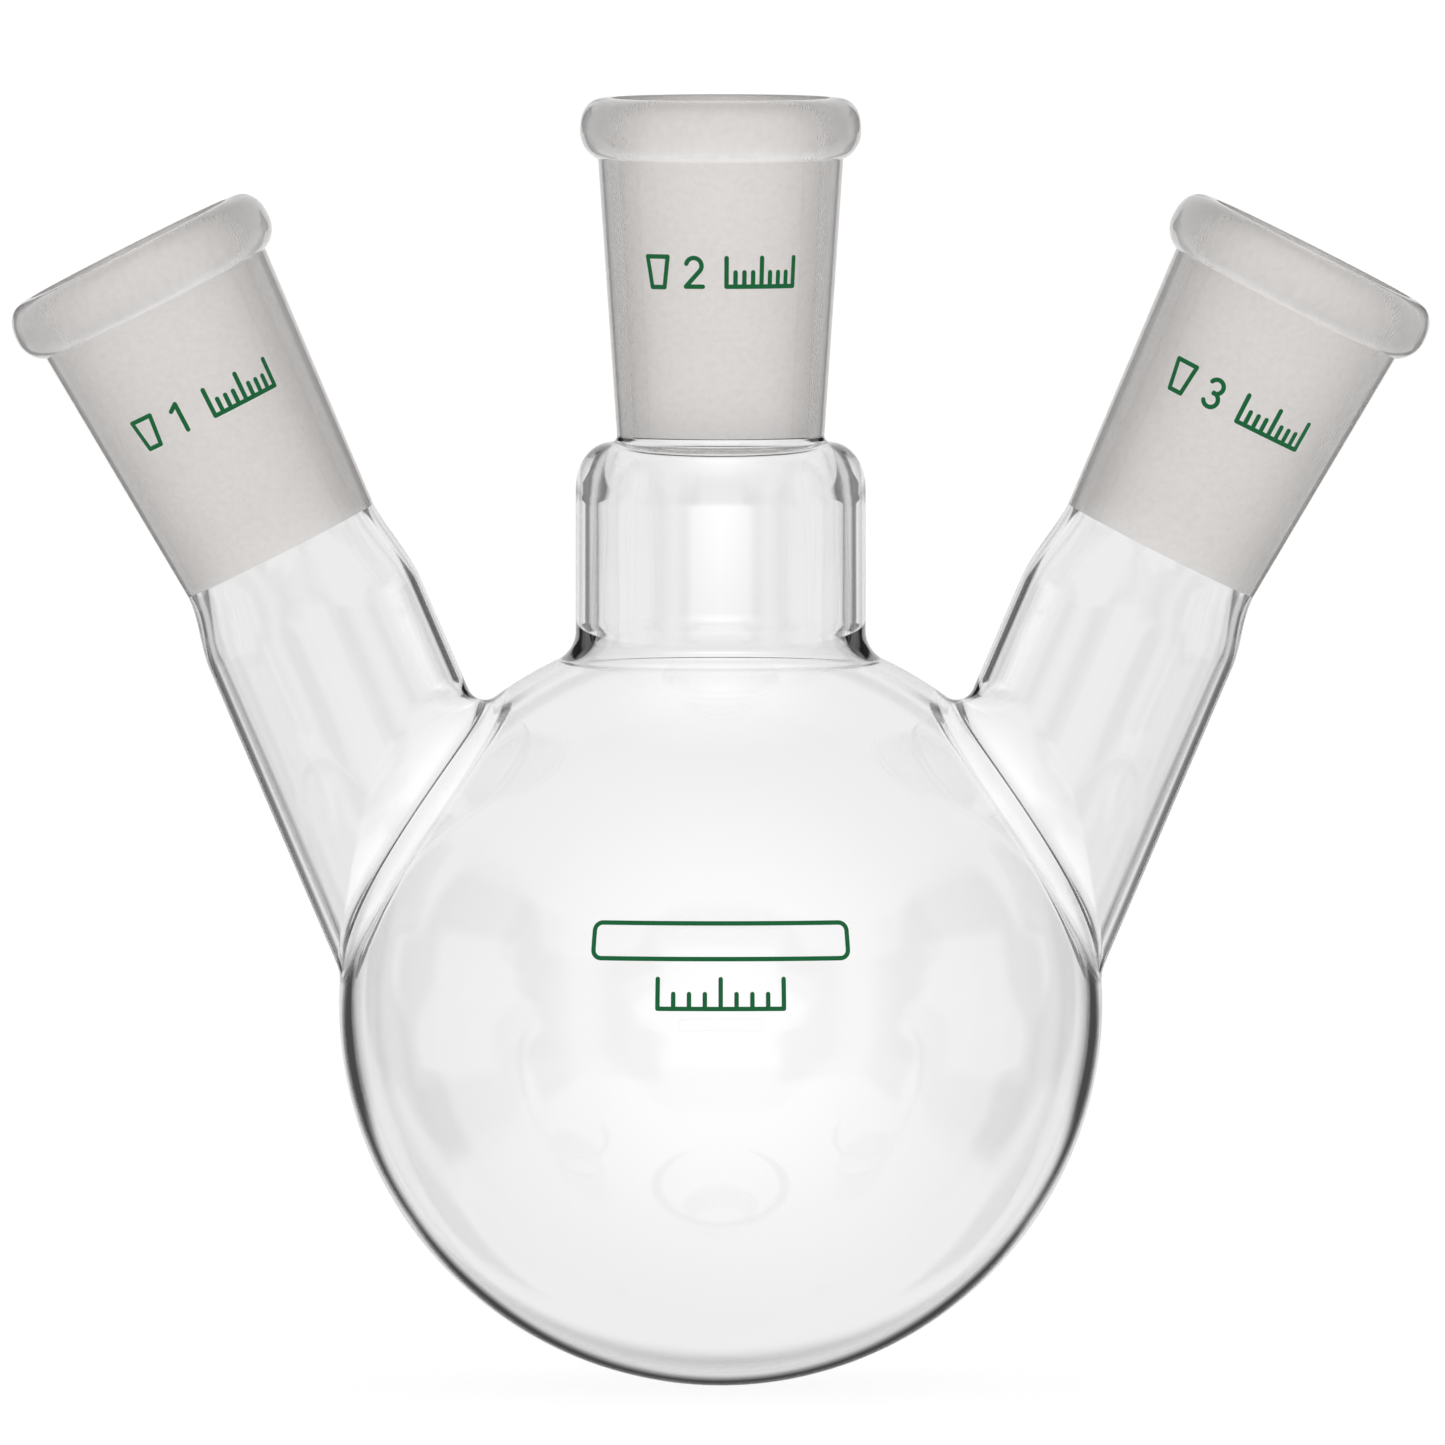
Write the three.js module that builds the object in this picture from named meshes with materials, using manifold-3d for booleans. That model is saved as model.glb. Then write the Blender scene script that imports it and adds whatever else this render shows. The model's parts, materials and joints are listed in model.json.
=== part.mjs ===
// A 250 ml three-neck round bottom flask of borosilicate glass, with three ground conical sockets.
// Millimetres, +Z up. The origin is the lowest point of the bulb, on its vertical axis, and the two
// side necks lean out along -X and +X. Each length of glass that the glassblower welds on is its own
// solid, and neighbours keep a small gap where the weld is.
import * as THREE from 'three';
import { mergeVertices } from 'three/addons/utils/BufferGeometryUtils.js';
import Module from 'manifold-3d';

// Bulb
const BULB_RADIUS = 42.5;
const BULB_WALL = 1.3;

// Ground socket of nominal size 24/40: the bore narrows by 1 mm in diameter every 10 mm of depth
const SOCKET_LENGTH = 37.6;
const MOUTH_RADIUS = 12;
const BORE_TAPER = 0.05; // radius lost per unit of depth
const SOCKET_FOOT_RADIUS = 11.55; // outside, at the small end
const SOCKET_TOP_RADIUS = 13.65; // outside, just under the bead
const BEAD_RADIUS = 15.65;
const BEAD_ROOT_RADIUS = 12; // centre of the bead's rounding
const BEAD_BELOW_LIP = 3.7; // from the lip down to the widest place
const BEAD_UPPER_HEIGHT = 4.3; // the bead's half height above its widest place, cut off by the lip
const BEAD_LOWER_HEIGHT = 3.4;
const LIP_CHAMFER = 0.25; // where the ground bore meets the flat lip

// Necks
const CENTRE_NECK_RADIUS = 16.15;
const CENTRE_NECK_WALL = 2.2;
const CENTRE_SHOULDER_HEIGHT = 6;
const CENTRE_SOCKET_FOOT = 105.9; // height of the centre socket's small end
const CENTRE_FLARE = 4; // radius of the flare at the neck's foot
const SIDE_NECK_RADIUS = 12.8;
const SIDE_NECK_WALL = 1.1;
const SIDE_SHOULDER_HEIGHT = 9;
const SIDE_SOCKET_FOOT = new THREE.Vector3(49, 0, 93.1); // the right socket's small end
const SIDE_SOCKET_TILT = THREE.MathUtils.degToRad(26.8);
const SIDE_NECK_TILT = THREE.MathUtils.degToRad(23.3);
const SIDE_NECK_REACH = 60; // down the neck's axis to inside the bulb, before it is cut

// Printed marks: thin fired enamel, on the side that faces -Y
const ENAMEL = 0.15;
const ENAMEL_GAP = 0.12; // from the true surface, so that it clears the facets
const SOCKET_MARK = { width: 17.8, height: 4, belowLip: 19 };
const CAPACITY_MARK = { width: 14.5, height: 3.8, centreHeight: 45.8 };
const MARKING_PANEL = { width: 29, height: 4.5, centreHeight: 51.6 };

const GAP = 0.3; // at each weld
const OVERSHOOT = 4; // how far a cutter or an uncut end runs past its cut
const ROUND_STEPS = 32;
const BULB_STEPS = 36;
const ARC_STEPS = 5;

const bulbCentre = new THREE.Vector3(0, 0, BULB_RADIUS);

const glass = { color: 0xf1f4f3, roughness: 0.03, metalness: 0 };
const groundGlass = { color: 0xdedcda, roughness: 0.6, metalness: 0 };
const enamel = { color: 0x0a5f38, roughness: 0.35, metalness: 0 };

const wasm = await Module();
wasm.setup();

/** A manifold solid of a closed three.js geometry. */
function solidOf(geometry) {
  const plain = geometry.index ? geometry.toNonIndexed() : geometry.clone();
  plain.deleteAttribute('normal');
  plain.deleteAttribute('uv');
  const merged = mergeVertices(plain, 1e-4);
  const index = merged.index.array;
  const triangles = [];
  for (let i = 0; i < index.length; i += 3) {
    const [a, b, c] = index.slice(i, i + 3);
    if (a !== b && b !== c && c !== a) triangles.push(a, b, c);
  }
  return new wasm.Manifold(new wasm.Mesh({
    numProp: 3,
    vertProperties: new Float32Array(merged.attributes.position.array),
    triVerts: new Uint32Array(triangles),
  }));
}

/** The three.js geometry of a manifold solid. */
function geometryOf(solid) {
  const mesh = solid.getMesh();
  const geometry = new THREE.BufferGeometry();
  geometry.setAttribute('position', new THREE.BufferAttribute(new Float32Array(mesh.vertProperties), 3));
  geometry.setIndex(new THREE.BufferAttribute(new Uint32Array(mesh.triVerts), 1));
  geometry.computeVertexNormals();
  return geometry;
}

/** A solid of revolution about +Z from [radius, height] pairs, listed upwards outside, downwards inside. */
function turned(profile, steps = ROUND_STEPS) {
  const points = profile.map(([radius, height]) => new THREE.Vector2(Math.max(radius, 0), height));
  return new THREE.LatheGeometry(points, steps).rotateX(Math.PI / 2);
}

/** Values from 0 to 1 in equal steps, both ends included. */
const fractions = (steps) => Array.from({ length: steps + 1 }, (_, i) => i / steps);

/** Points on an arc of an ellipse about [radius, height], from one angle to another. */
function arc([radius, height], across, up, from, to) {
  return fractions(ARC_STEPS).map((f) => {
    const angle = THREE.MathUtils.lerp(from, to, f);
    return [radius + across * Math.cos(angle), height + up * Math.sin(angle)];
  });
}

/** Radius of a socket's bore at a height above its small end. */
const boreRadius = (height) => MOUTH_RADIUS - BORE_TAPER * (SOCKET_LENGTH - height);

/** A ground socket: its small end at the origin, its flat lip at +Z. */
function socketGeometry() {
  const beadHeight = SOCKET_LENGTH - BEAD_BELOW_LIP;
  const beadCentre = [BEAD_ROOT_RADIUS, beadHeight];
  const beadOut = BEAD_RADIUS - BEAD_ROOT_RADIUS;
  const lipAngle = Math.asin(BEAD_BELOW_LIP / BEAD_UPPER_HEIGHT);
  const rootAngle = -Math.acos((SOCKET_TOP_RADIUS - BEAD_ROOT_RADIUS) / beadOut);
  const profile = [
    [boreRadius(0), 0],
    [SOCKET_FOOT_RADIUS, 0],
    ...arc(beadCentre, beadOut, BEAD_LOWER_HEIGHT, rootAngle, 0),
    ...arc(beadCentre, beadOut, BEAD_UPPER_HEIGHT, 0, lipAngle).slice(1),
    [MOUTH_RADIUS + LIP_CHAMFER, SOCKET_LENGTH],
    [MOUTH_RADIUS, SOCKET_LENGTH - LIP_CHAMFER],
    [boreRadius(0), 0],
  ];
  return turned(profile);
}

/** Eases from 0 to 1 with no slope at either end. */
const ease = (f) => f * f * (3 - 2 * f);

/** A side neck before it is cut to length: its top end passes the origin, and it runs down -Z. */
function sideNeckTube() {
  const spread = (top, bottom) => fractions(ARC_STEPS).map((f) => [
    THREE.MathUtils.lerp(top, bottom, ease(f)),
    -SIDE_SHOULDER_HEIGHT * f,
  ]);
  const outside = spread(SOCKET_FOOT_RADIUS, SIDE_NECK_RADIUS);
  const inside = spread(boreRadius(0), SIDE_NECK_RADIUS - SIDE_NECK_WALL);
  return turned([
    [boreRadius(0), OVERSHOOT],
    ...inside,
    [SIDE_NECK_RADIUS - SIDE_NECK_WALL, -SIDE_NECK_REACH],
    [SIDE_NECK_RADIUS, -SIDE_NECK_REACH],
    ...outside.reverse(),
    [SOCKET_FOOT_RADIUS, OVERSHOOT],
    [boreRadius(0), OVERSHOOT],
  ]);
}

/** The centre neck before its foot is cut to the bulb, in the flask's frame. */
function centreNeckTube() {
  const top = CENTRE_SOCKET_FOOT - GAP;
  const shoulder = (upper, lower) => arc(
    [upper, top - CENTRE_SHOULDER_HEIGHT],
    lower - upper,
    CENTRE_SHOULDER_HEIGHT,
    0,
    Math.PI / 2,
  );
  const flareRadius = CENTRE_NECK_RADIUS + CENTRE_FLARE;
  const flareHeight = bulbCentre.z + Math.sqrt((BULB_RADIUS + CENTRE_FLARE) ** 2 - flareRadius ** 2);
  const flareEnd = -Math.PI + Math.acos(flareRadius / (BULB_RADIUS + CENTRE_FLARE));
  const foot = bulbCentre.z + Math.sqrt(BULB_RADIUS ** 2 - flareRadius ** 2) - OVERSHOOT;
  const flare = arc([flareRadius, flareHeight], CENTRE_FLARE, CENTRE_FLARE, flareEnd, -Math.PI);
  const inner = CENTRE_NECK_RADIUS - CENTRE_NECK_WALL;
  return turned([
    [inner, foot],
    [flare[0][0], foot],
    ...flare,
    ...shoulder(SOCKET_FOOT_RADIUS, CENTRE_NECK_RADIUS),
    ...shoulder(boreRadius(0), inner).reverse(),
    [inner, foot],
  ]);
}

/** A ball round the bulb's centre. */
function bulbBall(radius) {
  const ball = new THREE.SphereGeometry(radius, BULB_STEPS, BULB_STEPS / 2).rotateX(Math.PI / 2);
  return ball.translate(...bulbCentre.toArray());
}

/** A plain rod along +Z from its lower to its upper end, as a cutter. */
function rod(radius, from, to) {
  return turned([[0, from], [radius, from], [radius, to], [0, to]]);
}

/** The place of a socket or a neck that leans out on one side: -1 for left, +1 for right. */
function leaning(side, tilt) {
  return new THREE.Matrix4()
    .makeRotationY(side * tilt)
    .setPosition(side * SIDE_SOCKET_FOOT.x, 0, SIDE_SOCKET_FOOT.z);
}

/** The bulb: a thin ball with a hole under each neck's bore. */
function bulbGeometry() {
  const wallBall = solidOf(bulbBall(BULB_RADIUS)).subtract(solidOf(bulbBall(BULB_RADIUS - BULB_WALL)));
  const boreTop = 2 * BULB_RADIUS + OVERSHOOT;
  let bulb = wallBall.subtract(solidOf(rod(CENTRE_NECK_RADIUS - CENTRE_NECK_WALL, bulbCentre.z, boreTop)));
  for (const side of [-1, 1]) {
    const bore = rod(SIDE_NECK_RADIUS - SIDE_NECK_WALL, -SIDE_NECK_REACH, 0);
    bulb = bulb.subtract(solidOf(bore.applyMatrix4(leaning(side, SIDE_NECK_TILT))));
  }
  return geometryOf(bulb);
}

/** The centre neck, its foot shaped to the bulb. */
function centreNeckGeometry() {
  return geometryOf(solidOf(centreNeckTube()).subtract(solidOf(bulbBall(BULB_RADIUS + GAP))));
}

/** A side neck, cut square to its socket at the top and shaped to the bulb at its foot. */
function sideNeckGeometry(side) {
  const tube = sideNeckTube().applyMatrix4(leaning(side, SIDE_NECK_TILT));
  const aboveWeld = rod(2 * SIDE_NECK_RADIUS, -GAP, 3 * OVERSHOOT).applyMatrix4(leaning(side, SIDE_SOCKET_TILT));
  const bulb = solidOf(bulbBall(BULB_RADIUS + GAP));
  return geometryOf(solidOf(tube).subtract(solidOf(aboveWeld)).subtract(bulb));
}

/** A thin plate bent round +Z, its middle facing -Y, with the radius of each of its heights given. */
function bentPlate(width, height, radiusAt) {
  const across = 8;
  const up = 2;
  const plate = new THREE.BoxGeometry(width, ENAMEL, height, across, 1, up);
  const spot = plate.attributes.position;
  for (let i = 0; i < spot.count; i += 1) {
    const radius = radiusAt(spot.getZ(i)) + ENAMEL_GAP + ENAMEL / 2 - spot.getY(i);
    const angle = spot.getX(i) / radiusAt(0);
    spot.setXYZ(i, radius * Math.sin(angle), -radius * Math.cos(angle), spot.getZ(i));
  }
  return plate;
}

/** A socket's size mark, in the socket's frame. */
function socketMarkGeometry() {
  const middle = SOCKET_LENGTH - SOCKET_MARK.belowLip;
  const slope = (SOCKET_TOP_RADIUS - SOCKET_FOOT_RADIUS) / (SOCKET_LENGTH - 2 * BEAD_BELOW_LIP);
  const radiusAt = (height) => SOCKET_FOOT_RADIUS + slope * (middle + height);
  return bentPlate(SOCKET_MARK.width, SOCKET_MARK.height, radiusAt).translate(0, 0, middle);
}

/** A mark on the front of the bulb, in the flask's frame. */
function bulbMarkGeometry({ width, height, centreHeight }) {
  const aboveCentre = centreHeight - bulbCentre.z;
  const radiusAt = (up) => Math.sqrt(BULB_RADIUS ** 2 - (aboveCentre + up) ** 2);
  return bentPlate(width, height, radiusAt).translate(0, 0, centreHeight);
}

const flask = new THREE.Group();

/** Adds a named piece to a group. */
function piece(group, name, geometry, finish) {
  const mesh = new THREE.Mesh(geometry, new THREE.MeshStandardMaterial(finish));
  mesh.name = name;
  group.add(mesh);
}

/** Adds a socket and its mark, placed by a matrix. */
function addSocket(name, place) {
  const group = new THREE.Group();
  place.decompose(group.position, group.quaternion, group.scale);
  piece(group, `${name}_joint`, socketGeometry(), groundGlass);
  piece(group, `${name}_joint_mark`, socketMarkGeometry(), enamel);
  flask.add(group);
}

piece(flask, 'bulb', bulbGeometry(), glass);
piece(flask, 'centre_neck', centreNeckGeometry(), glass);
addSocket('centre', new THREE.Matrix4().makeTranslation(0, 0, CENTRE_SOCKET_FOOT));
for (const [name, side] of [['left', -1], ['right', 1]]) {
  piece(flask, `${name}_neck`, sideNeckGeometry(side), glass);
  addSocket(name, leaning(side, SIDE_SOCKET_TILT));
}
piece(flask, 'capacity_mark', bulbMarkGeometry(CAPACITY_MARK), enamel);
piece(flask, 'marking_panel', bulbMarkGeometry(MARKING_PANEL), enamel);

export default flask;
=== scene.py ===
"""A clear three-neck round bottom flask on a white sweep.

Each length of glass is its own closed mesh: the bulb, three necks and three ground sockets. Where the
glassblower fused two of them, both meshes end in the same ring, closed by a see-through weld face, so
that light passes as it does through one piece of glass. The green prints are thin fired enamel.
"""
import json
import math

import bmesh
import bpy
import numpy as np
from mathutils import Matrix, Vector
from mathutils.geometry import delaunay_2d_cdt


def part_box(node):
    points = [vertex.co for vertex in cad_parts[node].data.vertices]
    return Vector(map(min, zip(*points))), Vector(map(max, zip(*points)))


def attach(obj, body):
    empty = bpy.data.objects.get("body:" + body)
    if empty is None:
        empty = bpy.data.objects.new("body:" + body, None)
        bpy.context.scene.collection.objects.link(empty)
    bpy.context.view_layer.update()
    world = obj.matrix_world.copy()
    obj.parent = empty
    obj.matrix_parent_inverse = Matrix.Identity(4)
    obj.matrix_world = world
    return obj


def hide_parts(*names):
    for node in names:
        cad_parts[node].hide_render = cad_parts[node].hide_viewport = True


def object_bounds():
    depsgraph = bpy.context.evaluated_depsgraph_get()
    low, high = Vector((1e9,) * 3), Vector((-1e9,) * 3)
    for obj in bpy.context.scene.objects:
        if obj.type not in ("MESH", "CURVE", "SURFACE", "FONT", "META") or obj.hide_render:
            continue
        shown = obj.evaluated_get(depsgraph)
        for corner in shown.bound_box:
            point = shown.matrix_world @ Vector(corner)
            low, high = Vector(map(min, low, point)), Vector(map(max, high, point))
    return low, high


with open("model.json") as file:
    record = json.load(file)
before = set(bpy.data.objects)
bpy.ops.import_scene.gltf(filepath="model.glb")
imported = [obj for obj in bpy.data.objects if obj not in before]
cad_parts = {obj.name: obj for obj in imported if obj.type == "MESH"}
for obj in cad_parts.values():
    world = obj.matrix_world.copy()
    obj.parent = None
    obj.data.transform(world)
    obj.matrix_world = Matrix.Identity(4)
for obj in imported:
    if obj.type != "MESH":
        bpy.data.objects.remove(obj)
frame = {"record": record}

MM = 0.001
CAD_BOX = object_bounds()

# ---------------------------------------------------------------- sizes, in metres

BULB_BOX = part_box("bulb")
BULB_RADIUS = (BULB_BOX[1].x - BULB_BOX[0].x) / 2
BULB_WALL = 1.3 * MM
BULB_CENTRE = np.array([0.0, 0.0, BULB_BOX[0].z + BULB_RADIUS])

SOCKET_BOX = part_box("centre_joint")
SOCKET_LENGTH = SOCKET_BOX[1].z - SOCKET_BOX[0].z
BEAD_RADIUS = (SOCKET_BOX[1].x - SOCKET_BOX[0].x) / 2
MOUTH_RADIUS = 12 * MM
BORE_TAPER = 0.05
SOCKET_FOOT_RADIUS = 11.55 * MM
SOCKET_TOP_RADIUS = 13.65 * MM
BEAD_ROOT_RADIUS = 12.25 * MM
BEAD_BELOW_LIP = 3.7 * MM
BEAD_LOWER_HEIGHT = 3.4 * MM
BEAD_SQUARENESS = 2.5
LIP_EDGE = 0.3 * MM

CENTRE_NECK_RADIUS = 16.15 * MM
CENTRE_NECK_WALL = 2.2 * MM
CENTRE_SHOULDER_HEIGHT = 6 * MM
CENTRE_SHOULDER_FILLET = 0.8 * MM
CENTRE_HOLLOW_DROP = 0.6 * MM  # from the weld down to the edge of the hollow under the shoulder
CENTRE_HOLLOW_HEIGHT = 8 * MM
CENTRE_HOLLOW_EDGE = 1.6 * MM
CENTRE_FLARE = 3.6 * MM
CENTRE_SEAL = 1.0 * MM  # how much larger the flare is inside, where the fused glass is thick
SIDE_NECK_RADIUS = (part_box("left_neck")[1].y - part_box("left_neck")[0].y) / 2
SIDE_NECK_WALL = 1.1 * MM
SIDE_SHOULDER_HEIGHT = 9 * MM
SIDE_FLARE_INNER = 2.0 * MM  # in the fork beside the centre neck
SIDE_FLARE_FACE = 9.0 * MM  # at the front and back
SIDE_FLARE_OUTER = 4.5 * MM  # on the far side
SIDE_SEAL = 1.5 * MM  # as CENTRE_SEAL, in the fork and on the far side
SIDE_NECK_TILT = math.radians(23.3)

SOCKET_MARK_BELOW_LIP = 19 * MM
CAPACITY_HEIGHT = 45.8 * MM
PANEL_HEIGHT = 51.6 * MM
STROKE_WIDTH = 0.5  # millimetres, as the prints are drawn
STROKE_STEP = 0.5
PRINT_GAP = 0.01 * MM
PRINT_THICKNESS = 0.05 * MM

AROUND = 288  # steps round each neck and socket
BALL_LEVELS = 7  # icosphere subdivisions of the bulb
APRON = 3 * MM  # how far each neck's piece runs on over the bulb before the seam
APRON_STEPS = 8
FLARE_STEPS = 32

# ---------------------------------------------------------------- small helpers


def lerp(a, b, f):
    return a + (b - a) * f


def ease(f):
    """From 0 to 1 with no slope at either end."""
    return f * f * (3 - 2 * f)


def fractions(steps):
    return np.linspace(0.0, 1.0, steps + 1)


def unit(vectors):
    return vectors / np.linalg.norm(vectors, axis=-1, keepdims=True)


def link(mesh, name):
    """A new object for a mesh."""
    ob = bpy.data.objects.new(name, mesh)
    bpy.context.scene.collection.objects.link(ob)
    return ob


# ---------------------------------------------------------------- materials

GLASS_IOR = 1.474


def new_material(name):
    """An empty node material and its output."""
    material = bpy.data.materials.new(name)
    material.use_nodes = True
    material.node_tree.nodes.clear()
    return material, material.node_tree.nodes.new("ShaderNodeOutputMaterial")


def lets_lamps_through(tree, shader, output):
    """Mixes in a transparent shader for shadow rays, so that the glass throws only a faint shadow."""
    mix = tree.nodes.new("ShaderNodeMixShader")
    path = tree.nodes.new("ShaderNodeLightPath")
    clear = tree.nodes.new("ShaderNodeBsdfTransparent")
    clear.inputs["Color"].default_value = (0.94, 0.95, 0.95, 1)
    tree.links.new(path.outputs["Is Shadow Ray"], mix.inputs["Fac"])
    tree.links.new(shader.outputs[0], mix.inputs[1])
    tree.links.new(clear.outputs[0], mix.inputs[2])
    tree.links.new(mix.outputs[0], output.inputs["Surface"])


def node_math(tree, operation, *values):
    """The result of a Math node on sockets or plain numbers."""
    node = tree.nodes.new("ShaderNodeMath")
    node.operation = operation
    for socket, value in zip(node.inputs, values):
        if isinstance(value, (int, float)):
            socket.default_value = value
        else:
            tree.links.new(value, socket)
    return node.outputs[0]


def noise(tree, scale, detail):
    """Noise over the piece itself, with features about one over scale metres across."""
    place = tree.nodes.new("ShaderNodeTexCoord")
    node = tree.nodes.new("ShaderNodeTexNoise")
    node.inputs["Scale"].default_value = scale
    node.inputs["Detail"].default_value = detail
    tree.links.new(place.outputs["Object"], node.inputs["Vector"])
    return node.outputs["Fac"]


def remap(tree, value, low, high):
    """Stretches the middle of a noise over a range."""
    node = tree.nodes.new("ShaderNodeMapRange")
    node.inputs["From Min"].default_value = 0.3
    node.inputs["From Max"].default_value = 0.7
    node.inputs["To Min"].default_value = low
    node.inputs["To Max"].default_value = high
    tree.links.new(value, node.inputs["Value"])
    return node.outputs["Result"]


def bump(tree, height, depth, shader):
    """Raises the surface by up to depth metres."""
    node = tree.nodes.new("ShaderNodeBump")
    node.inputs["Distance"].default_value = depth
    tree.links.new(height, node.inputs["Height"])
    tree.links.new(node.outputs["Normal"], shader.inputs["Normal"])


def smooth_step(tree, value, start, stop):
    """From 0 to 1 as a value goes from start to stop."""
    node = tree.nodes.new("ShaderNodeMapRange")
    node.interpolation_type = "SMOOTHSTEP"
    node.inputs["From Min"].default_value = start
    node.inputs["From Max"].default_value = stop
    tree.links.new(value, node.inputs["Value"])
    return node.outputs["Result"]


def blend(tree, factor, first, second):
    """A mix of two colours, each a fixed colour or a socket."""
    node = tree.nodes.new("ShaderNodeMix")
    node.data_type = "RGBA"
    tree.links.new(factor, node.inputs["Factor"])
    for socket, colour in ((node.inputs[6], first), (node.inputs[7], second)):
        if isinstance(colour, tuple):
            socket.default_value = (*colour, 1)
        else:
            tree.links.new(colour, socket)
    return node.outputs[2]


def clear_material():
    """Blown borosilicate glass, very slightly uneven."""
    material, output = new_material("clear_glass")
    tree = material.node_tree
    shader = tree.nodes.new("ShaderNodeBsdfPrincipled")
    tint = remap(tree, noise(tree, 25, 1), 0.0, 1.0)
    tree.links.new(blend(tree, tint, (0.985, 0.985, 0.985), (1, 1, 1)), shader.inputs["Base Color"])
    shader.inputs["Roughness"].default_value = 0.0
    shader.inputs["IOR"].default_value = GLASS_IOR
    shader.inputs["Transmission Weight"].default_value = 1.0
    bump(tree, noise(tree, 70, 2), 0.01 * MM, shader)
    lets_lamps_through(tree, shader, output)
    return material


def ground_material():
    """Glass ground with abrasive: a fine even frost, with painted shade that greys its colour where it turns
    away from the view.
    """
    material, output = new_material("ground_glass")
    tree = material.node_tree
    shader = tree.nodes.new("ShaderNodeBsdfPrincipled")
    facing = tree.nodes.new("ShaderNodeLayerWeight")
    facing.inputs["Blend"].default_value = 0.5
    # painted shade: a mask from Layer Weight's facing that grows where the surface turns away from the view
    turned = smooth_step(tree, facing.outputs["Facing"], 0.05, 0.75)
    grain = noise(tree, 5000, 2)
    mottle = remap(tree, noise(tree, 1500, 5), 0.0, 1.0)
    lit = blend(tree, mottle, (1.0, 0.965, 0.942), (0.9, 0.862, 0.838))
    # by that mask, the frost's mottled colour fades into a painted shaded copy, a warm grey (0.63, 0.593,
    # 0.572)
    tree.links.new(blend(tree, turned, lit, (0.63, 0.593, 0.572)), shader.inputs["Base Color"])
    tree.links.new(remap(tree, grain, 0.5, 0.7), shader.inputs["Roughness"])
    shader.inputs["IOR"].default_value = GLASS_IOR
    shader.inputs["Transmission Weight"].default_value = 0.95
    bump(tree, grain, 0.02 * MM, shader)
    lets_lamps_through(tree, shader, output)
    return material


def weld_material():
    """The face inside the glass where two pieces are fused. Nothing shows there."""
    material, output = new_material("weld")
    shader = material.node_tree.nodes.new("ShaderNodeBsdfPrincipled")
    shader.inputs["Alpha"].default_value = 0.0
    material.node_tree.links.new(shader.outputs[0], output.inputs["Surface"])
    return material


def enamel_material():
    """Green enamel, screen printed and fired, a little thin in places."""
    material, output = new_material("green_enamel")
    tree = material.node_tree
    shader = tree.nodes.new("ShaderNodeBsdfPrincipled")
    speckle = noise(tree, 3500, 3)
    colour = blend(tree, remap(tree, speckle, 0.0, 1.0), (0.0, 0.105, 0.027), (0.002, 0.125, 0.036))
    tree.links.new(colour, shader.inputs["Base Color"])
    tree.links.new(remap(tree, speckle, 0.35, 0.5), shader.inputs["Roughness"])
    shader.inputs["Specular IOR Level"].default_value = 0.2
    bump(tree, speckle, 0.01 * MM, shader)
    tree.links.new(shader.outputs[0], output.inputs["Surface"])
    return material


CLEAR = clear_material()
GROUND = ground_material()
WELD = weld_material()
ENAMEL = enamel_material()

# ---------------------------------------------------------------- rings, strips and closed skins


class Frame:
    """A place in the flask: an origin, an axis that points up a neck, and the directions round it."""

    def __init__(self, origin, tilt):
        self.origin = np.asarray(origin, float)
        self.up = np.array([math.sin(tilt), 0.0, math.cos(tilt)])
        self.out = np.array([math.cos(tilt), 0.0, -math.sin(tilt)])
        self.side = np.cross(self.up, self.out)

    def round(self, angles):
        """Unit vectors round the axis."""
        return np.outer(np.cos(angles), self.out) + np.outer(np.sin(angles), self.side)

    def ring(self, radius, height):
        return self.origin + height * self.up + radius * self.round(ANGLES)

    def matrix(self):
        columns = np.column_stack([self.out, self.side, self.up])
        return Matrix([[*row, shift] for row, shift in zip(columns, self.origin)] + [[0, 0, 0, 1]])


ANGLES = np.linspace(0, 2 * math.pi, AROUND, endpoint=False)


def turned_strip(place, profile, material):
    """A strip of a surface of revolution from rows of radius, height and the normal's two parts."""
    points, normals = [], []
    for radius, height, normal_out, normal_up in profile:
        points.append(place.ring(radius, height))
        normals.append(unit(normal_out * place.round(ANGLES) + normal_up * place.up))
    return np.array(points), np.array(normals), material


def cap_strip(first, last, material):
    """A flat strip between two rings."""
    return np.array([first, last]), None, material


def add_closed_skin(name, strips, materials):
    """Joins strips end to end, and the last to the first, into one closed mesh with its own normals."""
    points, faces, indices, corner_normals = [], [], [], []
    rows = 0
    total = sum(len(strip[0]) - 1 for strip in strips)
    for strip_points, strip_normals, material in strips:
        for row in range(len(strip_points) - 1):
            points.append(strip_points[row])
            here, after = rows * AROUND, (rows + 1) % total * AROUND
            for k in range(AROUND):
                turn = (k + 1) % AROUND
                faces.append((here + k, here + turn, after + turn, after + k))
                indices.append(material)
                if strip_normals is None:
                    corner_normals += [None] * 4
                else:
                    low, high = strip_normals[row], strip_normals[row + 1]
                    corner_normals += [low[k], low[turn], high[turn], high[k]]
            rows += 1
    return finish_mesh(name, np.concatenate(points), faces, indices, corner_normals, materials)


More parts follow.
